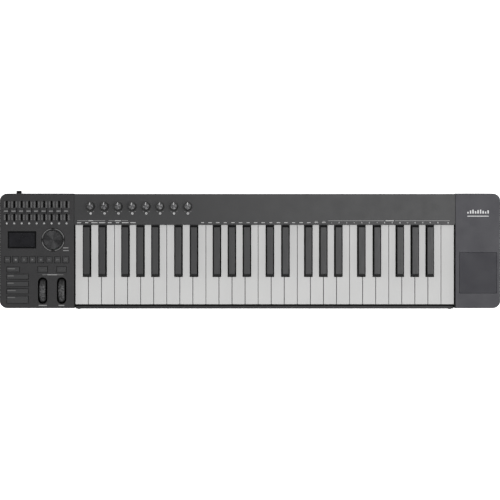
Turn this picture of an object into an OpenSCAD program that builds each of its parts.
// MIDI controller keyboard: an end housing with faders, screen, jog dial, buttons and wheels on the left,
// a keybed under a knob panel in the middle, and an end housing with a touch pad on the right.
// Row frame: +X to the player's right, +Y to the rear, +Z up. z = 0 is the desk.

/* [Case] */
// Width of the left end housing
left_w = 133.4; // [130:0.2:150]
// Width of the right end housing
right_w = 80.6; // [76:0.2:110]
// Depth of the end housings, front to rear
case_d = 205.5; // [204:0.5:212]
// Height of the end housings above the desk
case_h = 62; // [61:0.5:64]
// Plan radius of the four outer corners
corner_r = 14; // [8:1:14]
// Thickness of the moulded walls
wall = 2.5; // [2:0.25:3]
// Height of the rubber feet below the case
foot_gap = 3; // [2.5:0.5:3]

/* [Keys] */
// Number of full octaves; one more C closes the keyboard
octaves = 4; // [1:1:5]
// Width of one white key with its gap
key_pitch = 23.5; // [23:0.1:23.8]
// Gap between neighbouring white keys
key_gap = 1; // [0.8:0.1:1.2]
// Width of a black key at its base
black_w = 13.8; // [13:0.1:14]
// Gap from the outer keys' pitch lines to the end housings
side_gap = 1.15; // [1.05:0.05:4]
// Angle that a key turns when pressed
key_dip = 3.2; // [2.6:0.1:3.2]

/* [Controls] */
// Distance between neighbouring faders
fader_pitch = 13.4; // [12.5:0.1:13.6]
// Travel of a fader each way from its middle
fader_travel = 15; // [10:0.5:15]
// Distance between neighbouring knobs
knob_pitch = 24.9; // [18:0.1:26]
// Radius of a knob
knob_r = 7.75; // [6:0.25:8]
// Radius of the pitch and modulation wheels
wheel_r = 28; // [26:0.5:28]
// Radius of the jog dial
jog_r = 17.1; // [15:0.1:17.4]
// Travel of a panel button
button_travel = 1.2; // [0.6:0.1:1.2]

/* [Hidden] */
$fn = 48;
eps = 0.01;

white_count = 7 * octaves + 1;
total_w = left_w + right_w + white_count * key_pitch + 2 * side_gap;

// Frame: the origin is on the desk, at the middle of the whole object's box
rail_proud = 1.9;
bead_out = 0.85;
switch_out = 6.75;
y_rail = bead_out - (case_d + rail_proud + bead_out + switch_out) / 2;
y_front = y_rail + rail_proud;
y_rear = y_front + case_d;
x_left = -total_w / 2;
x_right = total_w / 2;
x_mid_l = x_left + left_w;
x_mid_r = x_right - right_w;
x_key0 = x_mid_l + side_gap;
x_key_end = x_key0 + white_count * key_pitch;

// Front rail: depth of its top flange, and the two round beads on its front face
rail_d = 4.9;
rail_top = 38;
rail_beads = [x_mid_l + 5.6, x_mid_r - 6.3];
bead_r = 2.5;
bead_z = 34.5;
tray_setback = 1.85;

// Heights of the case
z_case = foot_gap;
floor_t = 2;
z_floor = z_case + floor_t;
z_split = 36;
skin = 3;
z_skin = case_h - skin;
panel_z = case_h - 1.5;
panel_t = 2;
panel_inset = 0.7;
panel_d = 55.45;
y_panel = y_rear - panel_inset - panel_d;

// Keys
black_at = [0.90, 2.09, 3.845, 4.99, 6.14];
notch_w = black_w + 1.8;
key_top = 52;
key_bottom = 34;
key_skin = 2.5;
key_side = 1.6;
black_rise = 9;
black_top_w = 11.4;
y_key_front = y_front + 6.6;
y_black_front = y_panel - 92.5;
y_notch = y_black_front - 1.1;
y_shell_end = y_panel + 4;
pivot_y = 82;
pivot_z = 41;
rod_r = 2;
stem_w = 8;
stem_h = 8;
y_stem_end = pivot_y + 5;
run_fit = 0.06;

// Keybed
plate_z = 19.5;
plate_t = 2;
z_plate = plate_z + plate_t;
y_plate_front = -95;
y_plate_rear = 94;
white_leg_y = -72;
black_leg_y = -38;
leg_t = 4;
leg_w = 6;
foot_z = 15.1;
foot_t = 2.2;
slot_behind_leg = 7.5;
front_felt = [-87, -77];
mid_felt = [-26, -16];
felt_t = 2.9;
felt_gap = 0.4;
actuator_y = 16;
actuator_z = 30;
rod_rib = 3;
board_t = 1.6;

// Left housing's controls, from its left edge and from the rear edge
fader_row = 31;
fader_count = 9;
fader_slot_w = 3.2;
fader_slot = 2 * fader_travel + 5.8;
fader_cap = [9.6, 11.4, 8.5];
screen_at = [40.4, 83];
screen_size = [50.6, 30.5];
jog_at = [96.1, 83];
ring_r = 20.6;
ring_in_r = jog_r + 0.5;
transport_row = 118.65;
transport_pitch = 14.95;
transport_count = 8;
transport_open = [12, 12.4];
function_open = [[23.8, 10.4], [39.8, 10.4], [39.8, 10.4], [39.8, 10.4], [39.8, 14.4]];
function_left = 12.8;
function_rows = [136, 148.9, 162, 175.1, 190.3];
octave_at = [77.4, 111.4];
octave_open = [18.4, 11.4];
wheel_row = 174;
wheel_slot = [16.8, 47.6];
wheel_shoulder = 4;
wheel_w = 11.4;
wheel_rise = 6;
button_gap = 0.9;
button_rise = button_travel - 0.2;
button_flange = 0.6;
ctrl_board_z = 46;
z_ctrl = ctrl_board_z + board_t;
dome_z = 51;

// Middle panel's knobs
knob_count = 8;
knob_first = 29.9;
knob_row = 23.4;
knob_h = 13.3;
knob_bevel = 2.2;
knob_clear = 0.7;
shaft_r = 3;
bushing_r = 3.5;
knob_board_z = 48;

// Touch pad
pad_size = [67, 73];
pad_row = 142.1;

// Rear sockets, from the left edge
socket_z = 19.5;
switch_x = 27.2;
switch_r = 4.7;
usb_x = 58;
midi_x = 81;
sustain_x = 101;
expression_x = 115.5;
jack_r = 3.25;
jack_depth = 26;
main_board_z = 9;

function xl(d) = x_left + d;
function yr(d) = y_rear - d;
function fader_x(n) = xl(left_w / 2 + (n - (fader_count + 1) / 2) * fader_pitch);
function knob_x(n) = x_mid_l + knob_first + (n - 1) * knob_pitch;
function transport_x(n) = xl(left_w / 2 + (n - (transport_count - 1) / 2) * transport_pitch);
function function_x(k) = xl(function_left + function_open[k][0] / 2);
function wheel_x(k) = xl(octave_at[k]);
function octave_x(o) = x_key0 + o * 7 * key_pitch;
function black_x(k) = black_at[k] * key_pitch;

// Height of a pressed key's lower edge, at a distance y
function pressed_z(y) = pivot_z + (y - pivot_y) * sin(key_dip) + (key_bottom - pivot_z) * cos(key_dip);
mid_felt_top = pressed_z(mid_felt[0]) - felt_gap;

// The black key on each side of a white key, or -1
left_black = [-1, 0, 1, -1, 2, 3, 4];
right_black = [0, 1, -1, 2, 3, 4, -1];
function white_l(i) = i * key_pitch + key_gap / 2;
function white_r(i) = (i + 1) * key_pitch - key_gap / 2;
function narrow_l(i) = left_black[i] < 0 ? white_l(i) : black_x(left_black[i]) + notch_w / 2;
function narrow_r(i) = right_black[i] < 0 ? white_r(i) : black_x(right_black[i]) - notch_w / 2;

// Screw places: housing bosses reach the skin, frame bosses stop at the keybed plate
boss_rear = 6.45;
boss_front = 6.75;
housing_bosses = [[xl(12), yr(boss_rear)], [x_mid_l - 6.5, yr(boss_rear)],
    [xl(7.5), y_front + 13], [x_mid_l - 6.5, y_front + boss_front],
    [x_mid_r + 6.5, yr(boss_rear)], [x_right - 12, yr(boss_rear)],
    [x_mid_r + 6.5, y_front + boss_front], [x_right - 11, y_front + boss_front]];
frame_boss_x = [for (k = [0:4]) x_key0 + 14 + k * (x_key_end - x_key0 - 28) / 4];
frame_boss_y = [-50, 52];
frame_bosses = [for (x = frame_boss_x) for (y = frame_boss_y) [x, y]];
boss_r = 3.4;
boss_pad_z = 8;
control_posts = [[xl(14.5), yr(57)], [xl(124), yr(57)], [xl(70), yr(83)], [xl(15), yr(108.5)],
    [xl(123), yr(108.5)], [xl(95), yr(129)], [xl(56.5), yr(155)], [xl(56.5), yr(196)]];
knob_posts = [for (n = [1, 4, 7]) [knob_x(n) + knob_pitch / 2, yr(knob_row)]];
main_posts = [for (x = [26, 119]) for (y = [36, 66]) [xl(x), yr(y)]];
post_r = 2.5;
foot_places = [for (x = [x_left + 34, 0, x_right - 34]) for (y = [y_front + 24, y_rear - 24]) [x, y]];
foot_r = 9;

// A box from its lowest corner to its highest
module box(lo, hi) {
    translate(lo) cube(hi - lo);
}

// A box centred on a place in plan, from z0 to z1
module block(at, size, z0, z1) {
    translate([at[0] - size[0] / 2, at[1] - size[1] / 2, z0]) cube([size[0], size[1], z1 - z0]);
}

module post(at, r, z0, z1) {
    translate([at[0], at[1], z0]) cylinder(r = r, h = z1 - z0);
}

// A rod along X
module rod_x(x0, x1, y, z, r) {
    translate([x0, y, z]) rotate([0, 90, 0]) cylinder(r = r, h = x1 - x0);
}

// A rod along Y
module rod_y(x, y0, y1, z, r) {
    translate([x, y0, z]) rotate([-90, 0, 0]) cylinder(r = r, h = y1 - y0);
}

// Plan of a case part; the corners on each end are round or square
module plan(x0, x1, y0, y1, r, round_l, round_r) {
    a = round_l ? r : 0;
    b = round_r ? r : 0;
    translate([x0 + a, y0]) square([x1 - x0 - a - b, y1 - y0]);
    translate([x0, y0 + r]) square([x1 - x0, y1 - y0 - 2 * r]);
    if (round_l) for (y = [y0 + r, y1 - r]) translate([x0 + r, y]) circle(r = r);
    if (round_r) for (y = [y0 + r, y1 - r]) translate([x1 - r, y]) circle(r = r);
}

// Plan of a slot with round ends, along Y
module stadium(w, l) {
    square([w, l - w], center = true);
    for (s = [-1, 1]) translate([0, s * (l - w) / 2]) circle(r = w / 2);
}

module case_color() { color([0.22, 0.22, 0.225]) children(); }
module metal_color() { color([0.34, 0.34, 0.355]) children(); }
module board_color() { color([0.05, 0.25, 0.12]) children(); }
module black_color() { color([0.07, 0.07, 0.07]) children(); }
module steel_color() { color([0.75, 0.76, 0.78]) children(); }

// ---------- Case ----------

module bottom_case() {
    mid = [x_mid_l, x_mid_r];
    case_color() difference() {
        union() {
            difference() {
                translate([0, 0, z_case]) linear_extrude(z_split - z_case)
                    plan(x_left, x_right, y_front, y_rear, corner_r, true, true);
                translate([0, 0, z_floor]) linear_extrude(z_split)
                    plan(x_left + wall, x_right - wall, y_front + wall, y_rear - wall,
                        corner_r - wall, true, true);
                // the middle of the front wall stands back, behind the rail
                box([mid[0], y_front - 1, z_case - 1], [mid[1], y_front + wall + 0.1, z_split + 1]);
            }
            box([mid[0] - 2, y_front + tray_setback, z_case],
                [mid[1] + 2, y_front + tray_setback + wall, z_split - 0.7]);
            // support rib under the keybed's front edge
            box([x_key0, y_plate_front + 1, z_floor - eps], [x_key_end, y_plate_front + 3, plate_z]);
            for (b = housing_bosses) post(b, 6, z_case, boss_pad_z);
            for (b = frame_bosses) post(b, 4.5, z_case, plate_z);
            for (m = main_posts) post(m, post_r, z_case, main_board_z);
            for (f = foot_places) post(f, foot_r + 2, z_case, z_floor + 1.2);
            // collar round the power switch
            rod_y(xl(switch_x), y_rear - wall, y_rear + 0.5, socket_z, 7.35);
        }
        for (b = concat(housing_bosses, frame_bosses)) {
            post(b, 3.4, z_case - 1, z_case + 2.5);
            post(b, 1.7, z_case, plate_z + 1);
        }
        for (f = foot_places) post(f, foot_r + 0.1, z_case - 1, z_case + 1.5);
        rod_y(xl(switch_x), y_rear - 5, y_rear + 2, socket_z, switch_r + 0.3);
        block([xl(usb_x), y_rear], [12.6, 10], socket_z - 5.9, socket_z + 5.9);
        rod_y(xl(midi_x), y_rear - 5, y_rear + 2, socket_z, 9);
        for (x = [sustain_x, expression_x]) rod_y(xl(x), y_rear - 5, y_rear + 2, socket_z, 5.8);
    }
}

module front_rail() {
    x0 = x_mid_l + 0.2;
    x1 = x_mid_r - 0.2;
    metal_color() union() {
        difference() {
            box([x0, y_rail, z_case + 3], [x1, y_rail + rail_d, rail_top]);
            box([x0 - 1, y_rail + wall, z_case + 2], [x1 + 1, y_rail + rail_d + 1, z_split - 0.5]);
        }
        for (x = rail_beads) rod_y(x, y_rail - bead_out, y_rail + 1, bead_z, bead_r);
    }
}

module top_panel() {
    x0 = x_mid_l + 0.2;
    x1 = x_mid_r - 0.2;
    y1 = y_rear - panel_inset;
    lip = 1.5;
    metal_color() difference() {
        union() {
            difference() {
                box([x0, y_panel, z_split + 0.1], [x1, y1, panel_z]);
                box([x0 - 1, y_panel + lip, z_split - 1], [x1 + 1, y1 - panel_t, panel_z - panel_t]);
                box([x0 - 1, y_panel - 1, z_split - 1],
                    [x1 + 1, y_panel + lip + 1, panel_z - panel_t - lip]);
            }
            for (k = knob_posts) post(k, post_r, knob_board_z + board_t, panel_z - 1);
        }
        for (n = [1:knob_count]) post([knob_x(n), yr(knob_row)], bushing_r + 0.2, 50, 70);
    }
}

// Outer shell of an end housing, open at the bottom
module housing_shell(x0, x1, left) {
    difference() {
        translate([0, 0, z_split]) linear_extrude(case_h - z_split)
            plan(x0, x1, y_front, y_rear, corner_r, left, !left);
        translate([0, 0, z_split - 1]) linear_extrude(z_skin - z_split + 1)
            plan(x0 + wall, x1 - wall, y_front + wall, y_rear - wall, corner_r - wall, left, !left);
    }
}

module housing_boss(at) {
    difference() {
        post(at, boss_r, boss_pad_z, z_skin + 1);
        post(at, 1.6, boss_pad_z - 1, boss_pad_z + 14);
    }
}

module left_housing() {
    case_color() difference() {
        union() {
            housing_shell(x_left, x_mid_l, true);
            for (k = [0:3]) housing_boss(housing_bosses[k]);
            for (c = control_posts) post(c, post_r, z_ctrl, z_skin + 1);
            // ledge that carries the knob panel
            box([x_mid_l - 1, y_panel + 4, panel_z - 6], [x_mid_l + 2.4, y_rear - 4, panel_z - panel_t]);
        }
        for (n = [1:fader_count])
            block([fader_x(n), yr(fader_row)], [fader_slot_w, fader_slot], z_skin - 1, case_h + 1);
        block([xl(screen_at[0]), yr(screen_at[1])], screen_size + [0.4, 0.4], case_h - 1.5, case_h + 1);
        block([xl(screen_at[0]), yr(screen_at[1])], screen_size - [4.6, 4.5], z_skin - 1, case_h);
        post([xl(jog_at[0]), yr(jog_at[1])], ring_r + 0.6, z_skin - 1, case_h + 1);
        for (n = [0:transport_count - 1])
            block([transport_x(n), yr(transport_row)], transport_open, z_skin - 1, case_h + 1);
        for (k = [0:4])
            block([function_x(k), yr(function_rows[k])], function_open[k], z_skin - 1, case_h + 1);
        for (x = octave_at) block([xl(x), yr(function_rows[0])], octave_open, z_skin - 1, case_h + 1);
        for (k = [0, 1]) translate([wheel_x(k), yr(wheel_row), z_skin - 1])
            linear_extrude(skin + 2) stadium(wheel_slot[0], wheel_slot[1]);
    }
}

module right_housing() {
    at = [x_right - right_w / 2, yr(pad_row)];
    case_color() difference() {
        union() {
            housing_shell(x_mid_r, x_right, false);
            for (k = [4:7]) housing_boss(housing_bosses[k]);
            box([x_mid_r - 2.4, y_panel + 4, panel_z - 6], [x_mid_r + 1, y_rear - 4, panel_z - panel_t]);
        }
        block(at, pad_size + [0.6, 0.6], case_h - 2, case_h + 1);
        block(at, pad_size - [12, 12], z_skin - 1, case_h);
    }
}

module rubber_feet() {
    black_color() for (f = foot_places) post(f, foot_r, 0, z_case + 1.5);
}

module case_screws() {
    steel_color() for (b = concat(housing_bosses, frame_bosses)) difference() {
        union() {
            post(b, 3, z_case + 0.4, z_case + 2.5);
            post(b, 1.5, z_case + 2, z_plate);
        }
        block(b, [3.2, 0.7], z_case, z_case + 1.3);
        block(b, [0.7, 3.2], z_case, z_case + 1.3);
    }
}

// ---------- Keybed ----------

module leg_slots(leg_y) {
    for (o = [0:octaves]) {
        x0 = octave_x(o) + 2;
        x1 = o < octaves ? octave_x(o + 1) - 2 : x_key_end - 2;
        box([x0, leg_y - 4, plate_z - 1], [x1, leg_y + slot_behind_leg, z_plate + 1]);
    }
}

// A rib stands on the pitch lines with no black key: between B and C, and between E and F
rib_lines = concat([for (o = [0:octaves]) o * 7], [for (o = [0:octaves - 1]) o * 7 + 3], [white_count]);

module key_frame() {
    color([0.3, 0.31, 0.33]) difference() {
        union() {
            box([x_key0 - 1, y_plate_front, plate_z], [x_key_end + 1, y_plate_rear, z_plate]);
            for (n = rib_lines) {
                x = x_key0 + n * key_pitch;
                // the outermost ribs end with the plate
                box([max(x - rod_rib / 2, x_key0 - 1), pivot_y - 8, z_plate - eps],
                    [min(x + rod_rib / 2, x_key_end + 1), pivot_y + 7, pivot_z + 5]);
            }
            // raised rib under the middle felt
            box([x_key0, mid_felt[0], z_plate - eps], [x_key_end, mid_felt[1], mid_felt_top - felt_t]);
            for (n = [0:white_count - 1]) {
                x = x_key0 + (n + 0.5) * key_pitch;
                w = key_pitch - key_gap - 2 * key_side - 0.4;
                box([x - w / 2, -93.5, z_plate - eps], [x + w / 2, -91, 39]);
            }
            for (o = [0:octaves - 1]) for (k = [0:4]) {
                x = octave_x(o) + black_x(k);
                box([x - 4.3, -44, z_plate - eps], [x + 4.3, -42.5, 40]);
            }
        }
        leg_slots(white_leg_y);
        leg_slots(black_leg_y);
        for (b = frame_bosses) post(b, 1.7, plate_z - 1, z_plate + 1);
        rod_x(x_key0 - 5, x_key_end + 5, pivot_y, pivot_z, rod_r + 0.02);
    }
}

module key_pivot_rod() {
    steel_color() rod_x(x_key0 - 1, x_key_end + 1, pivot_y, pivot_z, rod_r);
}

module key_stop_felts() {
    color([0.55, 0.12, 0.1]) {
        box([x_key0, front_felt[0], z_plate],
            [x_key_end, front_felt[1], pressed_z(front_felt[0]) - felt_gap]);
        box([x_key0, mid_felt[0], mid_felt_top - felt_t], [x_key_end, mid_felt[1], mid_felt_top]);
        for (leg = [white_leg_y, black_leg_y])
            box([x_key0, leg + slot_behind_leg, plate_z - 2],
                [x_key_end, leg + slot_behind_leg + 6, plate_z]);
    }
}

// One leaf spring a key, from the plate's rear edge up to the key's stem
module leaf_spring(x) {
    run = 32;
    rise = pivot_z - stem_h / 2 - z_plate - 1;
    translate([x - 2.5, y_plate_rear - 2, z_plate])
        rotate([90, 0, 90]) linear_extrude(5)
            polygon([[0, 0], [0, 0.5], [-run, rise + 0.5], [-run - 4, rise + 0.8],
                [-run - 4, rise + 0.3], [-run, rise]]);
}

module key_return_springs() {
    steel_color() {
        for (o = [0:octaves - 1]) {
            for (i = [0:6]) leaf_spring(octave_x(o) + (narrow_l(i) + narrow_r(i)) / 2);
            for (k = [0:4]) leaf_spring(octave_x(o) + black_x(k));
        }
        leaf_spring(octave_x(octaves) + key_pitch / 2);
    }
}

module key_contact_board() {
    board_color() box([x_key0 + 2, 4, z_plate], [x_key_end - 2, 34, z_plate + board_t]);
}

module contact_dome(x) {
    translate([x, actuator_y + 2, z_plate + board_t + 2 - eps])
        cylinder(r1 = 4, r2 = 2.8, h = actuator_z - z_plate - board_t - 2 - 0.1);
}

module key_contact_rubber() {
    color([0.6, 0.6, 0.62]) {
        for (o = [0:octaves]) {
            x0 = octave_x(o) + 2.5;
            x1 = o < octaves ? octave_x(o + 1) - 1 : x_key_end - 2.5;
            union() {
                box([x0, 8, z_plate + board_t], [x1, 28, z_plate + board_t + 2]);
                if (o < octaves) {
                    for (i = [0:6]) contact_dome(octave_x(o) + (narrow_l(i) + narrow_r(i)) / 2);
                    for (k = [0:4]) contact_dome(octave_x(o) + black_x(k));
                } else contact_dome(octave_x(o) + key_pitch / 2);
            }
        }
    }
}

// ---------- Keys ----------

// What every key has below its shell: pivot stem, contact actuator and up-stop hook
module key_works(x, l, r, leg_y, leg_x, leg_top) {
    box([x - stem_w / 2, y_shell_end - 2, pivot_z - stem_h / 2],
        [x + stem_w / 2, y_stem_end, pivot_z + stem_h / 2]);
    box([l, actuator_y, actuator_z], [r, actuator_y + leg_t, key_top - 1]);
    box([leg_x - leg_w / 2, leg_y, foot_z], [leg_x + leg_w / 2, leg_y + leg_t, leg_top]);
    box([leg_x - leg_w / 2, leg_y, foot_z], [leg_x + leg_w / 2, leg_y + leg_t + 7, foot_z + foot_t]);
}

module pivot_bore(x) {
    rod_x(x - stem_w, x + stem_w, pivot_y, pivot_z, rod_r + run_fit);
}

// A white key in its octave's frame: l and r bound its narrow rear part
module white_key(i, l, r) {
    x0 = white_l(i);
    x1 = white_r(i);
    x = (l + r) / 2;
    color([0.93, 0.93, 0.92]) difference() {
        union() {
            difference() {
                union() {
                    box([x0, y_key_front, key_bottom], [x1, y_notch, key_top]);
                    box([l, y_notch - 1, key_bottom], [r, y_shell_end, key_top]);
                }
                box([x0 + key_side, y_key_front + 2.4, key_bottom - 1],
                    [x1 - key_side, y_notch - key_side, key_top - key_skin]);
                box([l + key_side, y_notch - 4, key_bottom - 1],
                    [r - key_side, y_shell_end - 2, key_top - key_skin]);
            }
            key_works(x, l + 1, r - 1, white_leg_y, (x0 + x1) / 2, key_top - 1);
        }
        pivot_bore(x);
    }
}

module white_keys(i) {
    for (o = [0:octaves - 1]) translate([octave_x(o), 0, 0]) white_key(i, narrow_l(i), narrow_r(i));
    if (i == 0) translate([octave_x(octaves), 0, 0]) white_key(0, white_l(0), white_r(0));
}

// A black key centred on x = 0: sides and both ends slope in towards the top
module black_key() {
    t = key_top + black_rise;
    length = y_shell_end - y_black_front;
    color([0.09, 0.09, 0.095]) difference() {
        union() {
            difference() {
                intersection() {
                    translate([0, y_shell_end, 0]) rotate([90, 0, 0]) linear_extrude(length)
                        polygon([[-black_w / 2, key_bottom], [black_w / 2, key_bottom],
                            [black_w / 2, key_top - 1], [black_top_w / 2, t],
                            [-black_top_w / 2, t], [-black_w / 2, key_top - 1]]);
                    translate([-black_w, 0, 0]) rotate([90, 0, 90]) linear_extrude(2 * black_w)
                        polygon([[y_black_front, key_bottom], [y_black_front, key_top - 1],
                            [y_black_front + 1.2, key_top + 3], [y_black_front + 4.2, t],
                            [y_panel - 4.2, t], [y_panel - 0.6, key_top + 3], [y_shell_end, key_top + 2.4],
                            [y_shell_end, key_bottom]]);
                }
                box([-4.5, y_black_front + 2.6, key_bottom - 1], [4.5, y_shell_end - 2, key_top - 0.5]);
                box([-3.6, y_black_front + 7, key_top - 2], [3.6, y_panel - 9, t - 2.5]);
            }
            key_works(0, -5, 5, black_leg_y, 0, t - 2);
        }
        pivot_bore(0);
    }
}

module black_keys(k) {
    for (o = [0:octaves - 1]) translate([octave_x(o) + black_x(k), 0, 0]) black_key();
}

// ---------- Circuit boards and parts on them ----------

module control_board() {
    board_color() union() {
        box([xl(11.5), yr(143), ctrl_board_z], [x_mid_l - 5, yr(10.5), z_ctrl]);
        box([xl(11.5), y_front + 5, ctrl_board_z], [xl(60), yr(142), z_ctrl]);
    }
}

module knob_board() {
    board_color() box([knob_x(1) - 12, yr(36), knob_board_z],
        [knob_x(knob_count) + 12, yr(8), knob_board_z + board_t]);
}

module main_board() {
    board_color() {
        box([xl(22), yr(70), main_board_z], [xl(123), yr(6), main_board_z + board_t]);
        block([xl(60), yr(50)], [14, 14], main_board_z + board_t, main_board_z + board_t + 1.4);
        block([xl(88), yr(52)], [9, 6], main_board_z + board_t, main_board_z + board_t + 1.6);
        for (k = [0:3]) post([xl(36 + 7 * k), yr(60)], 2.5, main_board_z + board_t, main_board_z + 9);
    }
}

module rotary_pot(at, z) {
    block(at, [11, 11], z, z + 6.6);
    post(at, bushing_r, z + 6.5, z + 13.5);
    post(at, shaft_r, z + 13, z + 20.5);
}

module panel_pots() {
    color([0.5, 0.5, 0.52]) {
        for (n = [1:knob_count]) union() rotary_pot([knob_x(n), yr(knob_row)], knob_board_z + board_t);
        for (n = [1:fader_count]) difference() {
            block([fader_x(n), yr(fader_row)], [9, fader_slot + 5], z_ctrl, z_ctrl + 7);
            block([fader_x(n), yr(fader_row)], [1.8, fader_slot - 1], z_ctrl + 3, z_ctrl + 8);
        }
        // encoder of the jog dial
        union() {
            at = [xl(jog_at[0]), yr(jog_at[1])];
            block(at, [12, 12], z_ctrl, z_ctrl + 5);
            post(at, bushing_r, z_ctrl + 4, z_ctrl + 7);
            post(at, shaft_r, z_ctrl + 6, z_ctrl + 14);
        }
    }
}

// Places and cap sizes of the fifteen panel buttons
button_places = concat([for (n = [0:transport_count - 1]) [transport_x(n), yr(transport_row)]],
    [for (k = [0:4]) [function_x(k), yr(function_rows[k])]],
    [for (x = octave_at) [xl(x), yr(function_rows[0])]]);

module button_keypad() {
    at = [xl(jog_at[0]), yr(jog_at[1])];
    color([0.62, 0.62, 0.64]) {
        for (p = button_places) union() {
            post(p, 4.6, z_ctrl, z_ctrl + 1);
            translate([p[0], p[1], z_ctrl + 1 - eps])
                cylinder(r1 = 3.8, r2 = 2.6, h = dome_z - z_ctrl - 1.09);
        }
        for (a = [0:90:270]) union() {
            p = at + 19 * [cos(a), sin(a)];
            post(p, 2.4, z_ctrl, z_ctrl + 1);
            translate([p[0], p[1], z_ctrl + 1 - eps]) cylinder(r1 = 2.2, r2 = 1.6, h = 7.4);
        }
    }
}

module display_module() {
    at = [xl(screen_at[0]), yr(screen_at[1])];
    color([0.12, 0.13, 0.15]) union() {
        block(at, [52, 33], 54.4, 55.6);
        block(at, [48, 28], 55.5, z_skin - 0.2);
    }
}

module display_window() {
    color([0.03, 0.03, 0.035])
        block([xl(screen_at[0]), yr(screen_at[1])], screen_size, case_h - 1.5, case_h - 0.15);
}

module touchpad() {
    at = [x_right - right_w / 2, yr(pad_row)];
    color([0.28, 0.28, 0.3]) block(at, pad_size, case_h - 2, case_h - 0.2);
    board_color() block(at, pad_size - [12.6, 12.6], case_h - 3.8, case_h - 2.05);
}

module wheel_bracket() {
    axle_z = case_h + wheel_rise - wheel_r;
    y = yr(wheel_row);
    plates = [wheel_x(0) - 11, (wheel_x(0) + wheel_x(1)) / 2, wheel_x(1) + 11];
    steel_color() {
        difference() {
            union() {
                for (x = plates) box([x - 1, y - 14, z_floor], [x + 1, y + 14, axle_z + 9]);
                box([plates[0] - 1, y - 14, z_floor], [plates[2] + 1, y + 14, z_floor + 2]);
            }
            rod_x(plates[0] - 5, plates[2] + 5, y, axle_z, shaft_r + 0.02);
        }
        rod_x(plates[0] - 2, plates[2] + 2, y, axle_z, shaft_r);
    }
}

// A 6.35 mm jack: square body, round nose through the case, and the plug's bore
module pedal_jack(x) {
    nose = y_rear + 0.7;
    difference() {
        union() {
            block([x, yr(16.5)], [13, 27], main_board_z + board_t, socket_z + 7);
            rod_y(x, y_rear - 4, nose, socket_z, 5.4);
        }
        rod_y(x, nose - jack_depth, nose + 1, socket_z, jack_r);
    }
}

module rear_sockets() {
    pins = [for (a = [0:45:180]) [5 * cos(a), 5 * sin(a)]];
    black_color() {
        pedal_jack(xl(sustain_x));
        pedal_jack(xl(expression_x));
        // five-pin DIN socket
        difference() {
            union() {
                block([xl(midi_x), yr(10.5)], [20, 14], main_board_z + board_t, socket_z + 9.4);
                rod_y(xl(midi_x), y_rear - 5, y_rear + 0.3, socket_z, 8.8);
            }
            rod_y(xl(midi_x), y_rear - 8, y_rear + 1, socket_z, 7.6);
            for (p = pins) rod_y(xl(midi_x) + p[0], y_rear - 12, y_rear - 7, socket_z + p[1], 0.75);
        }
        // USB type B socket with its tongue
        difference() {
            union() {
                block([xl(usb_x), yr(9)], [12, 12], main_board_z + board_t, socket_z + 5.5);
                block([xl(usb_x), yr(4)], [12, 8.4], socket_z - 5.5, socket_z + 5.5);
            }
            difference() {
                block([xl(usb_x), y_rear - 3], [8.5, 12], socket_z - 3.9, socket_z + 3.9);
                block([xl(usb_x), y_rear - 4.5], [5.6, 10], socket_z - 1.6, socket_z + 1.6);
            }
        }
        // body of the power switch
        block([xl(switch_x), yr(14)], [8, 10], main_board_z + board_t, socket_z + 4.5);
    }
}

// ---------- Moving controls ----------

module fader(n) {
    z0 = case_h + 0.6;
    x = fader_x(n);
    y = yr(fader_row);
    w = fader_cap[0] / 2;
    d = fader_cap[1] / 2;
    z1 = z0 + fader_cap[2];
    draft = 0.7;
    color([0.2, 0.2, 0.205]) union() {
        intersection() {
            translate([x, y + d, 0]) rotate([90, 0, 0]) linear_extrude(2 * d)
                polygon([[-w, z0], [w, z0], [w - draft, z1], [draft - w, z1]]);
            // finger groove across the top
            translate([x - w, y, 0]) rotate([90, 0, 90]) linear_extrude(2 * w)
                polygon([[-d, z0], [d, z0], [d - draft, z1],
                    [0.9, z1 - 1.4], [-0.9, z1 - 1.4], [draft - d, z1]]);
        }
        block([x, y], [1.2, 4], z_ctrl + 4, z0 + 1);
    }
}

module knob(n) {
    at = [knob_x(n), yr(knob_row)];
    z0 = panel_z + knob_clear;
    color([0.16, 0.16, 0.165]) difference() {
        translate([at[0], at[1], z0]) union() {
            cylinder(r1 = knob_r, r2 = knob_r - 0.4, h = knob_h - knob_bevel);
            translate([0, 0, knob_h - knob_bevel - eps])
                cylinder(r1 = knob_r - 0.4, r2 = knob_r - 0.4 - knob_bevel * 0.8, h = knob_bevel);
        }
        post(at, shaft_r + run_fit, z0 - 1, z0 + 9.6);
        post(at, bushing_r + 1, z0 - 1, z0 + 2.4);
        block([at[0], at[1] + 4], [1.2, 5], z0 + knob_h - 0.5, z0 + knob_h + 1);
    }
}

// Half of a wheel's cross-section, with round shoulders at the rim
module wheel_profile() {
    w = wheel_w / 2;
    translate([0, -w]) square([wheel_r - wheel_shoulder, 2 * w]);
    translate([0, wheel_shoulder - w]) square([wheel_r, 2 * (w - wheel_shoulder)]);
    for (s = [-1, 1]) translate([wheel_r - wheel_shoulder, s * (w - wheel_shoulder)])
        circle(r = wheel_shoulder);
}

// A wheel: solid rim and hub with a thin web, and a thumb notch at the top
module hand_wheel(k) {
    axle_z = case_h + wheel_rise - wheel_r;
    x = wheel_x(k);
    y = yr(wheel_row);
    color([0.3, 0.3, 0.31]) difference() {
        translate([x, y, axle_z]) rotate([0, 90, 0]) rotate_extrude() wheel_profile();
        for (s = [-1, 1]) difference() {
            rod_x(x + s * wheel_w / 2 - 4.5, x + s * wheel_w / 2 + 4.5, y, axle_z, wheel_r - 6);
            rod_x(x - wheel_w, x + wheel_w, y, axle_z, 6);
        }
        rod_x(x - wheel_w, x + wheel_w, y, axle_z, shaft_r + run_fit);
        rod_x(x - wheel_w, x + wheel_w, y, axle_z + wheel_r + 5, 6.5);
    }
}

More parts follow.
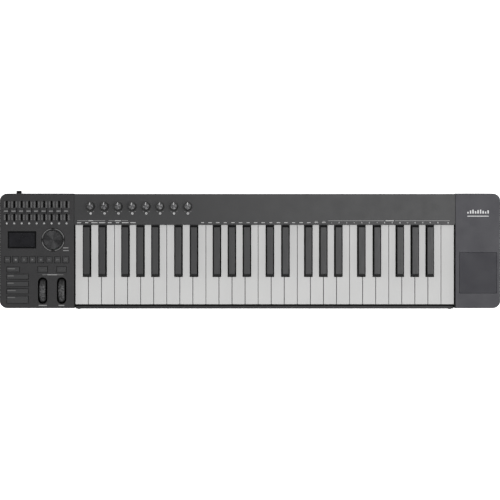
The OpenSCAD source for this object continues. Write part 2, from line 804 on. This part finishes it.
module jog_wheel() {
    at = [xl(jog_at[0]), yr(jog_at[1])];
    color([0.3, 0.3, 0.31]) difference() {
        union() {
            post(at, jog_r, case_h - 2, case_h + 2);
            translate([at[0], at[1], case_h + 2 - eps]) cylinder(r1 = jog_r, r2 = jog_r - 1, h = 1);
            post(at, 5.5, z_ctrl + 7.4, case_h - 1);
        }
        post(at, shaft_r + run_fit, z_ctrl + 7, z_ctrl + 14.3);
    }
}

module nav_ring() {
    at = [xl(jog_at[0]), yr(jog_at[1])];
    color([0.18, 0.18, 0.185]) difference() {
        union() {
            post(at, ring_r, 56.2, case_h + 0.8);
            post(at, ring_r + 2, 56.2, 58.1);
        }
        post(at, ring_in_r, 50, case_h + 2);
    }
}

// A panel button: cap through the housing, flange under its skin, plunger on its dome
module button(at, opening) {
    cap = opening - 2 * [button_gap, button_gap];
    flange = opening + 2 * [button_flange, button_flange];
    union() {
        block(at, cap, z_skin - 1, case_h + button_rise);
        block(at, flange, z_skin - 2.2, z_skin - 0.2);
        post(at, 2.6, dome_z, z_skin - 2);
    }
}

module button_color() { color([0.25, 0.25, 0.255]) children(); }

module transport_buttons() {
    button_color() for (n = [0:transport_count - 1])
        button([transport_x(n), yr(transport_row)], transport_open);
}

module function_buttons() {
    button_color() for (k = [0:4]) button([function_x(k), yr(function_rows[k])], function_open[k]);
}

module octave_buttons() {
    button_color() for (x = octave_at) button([xl(x), yr(function_rows[0])], octave_open);
}

module power_button() {
    black_color() union() {
        rod_y(xl(switch_x), yr(5), y_rear + switch_out, socket_z, switch_r);
        rod_y(xl(switch_x), yr(6.6), yr(4.9), socket_z, 1.6);
    }
}

bottom_case();
front_rail();
top_panel();
left_housing();
right_housing();
key_frame();
key_pivot_rod();
key_stop_felts();
key_return_springs();
key_contact_rubber();
key_contact_board();
white_keys(0);  // keys_c
black_keys(0);  // keys_c_sharp
white_keys(1);  // keys_d
black_keys(1);  // keys_d_sharp
white_keys(2);  // keys_e
white_keys(3);  // keys_f
black_keys(2);  // keys_f_sharp
white_keys(4);  // keys_g
black_keys(3);  // keys_g_sharp
white_keys(5);  // keys_a
black_keys(4);  // keys_a_sharp
white_keys(6);  // keys_b
control_board();
knob_board();
main_board();
panel_pots();
button_keypad();
display_module();
display_window();
touchpad();
wheel_bracket();
rear_sockets();
rubber_feet();
case_screws();
fader(1);  // fader_cap_1
fader(2);  // fader_cap_2
fader(3);  // fader_cap_3
fader(4);  // fader_cap_4
fader(5);  // fader_cap_5
fader(6);  // fader_cap_6
fader(7);  // fader_cap_7
fader(8);  // fader_cap_8
fader(9);  // fader_cap_9
knob(1);  // knob_1
knob(2);  // knob_2
knob(3);  // knob_3
knob(4);  // knob_4
knob(5);  // knob_5
knob(6);  // knob_6
knob(7);  // knob_7
knob(8);  // knob_8
hand_wheel(0);  // pitch_wheel
hand_wheel(1);  // mod_wheel
jog_wheel();
nav_ring();
transport_buttons();
function_buttons();
octave_buttons();
power_button();
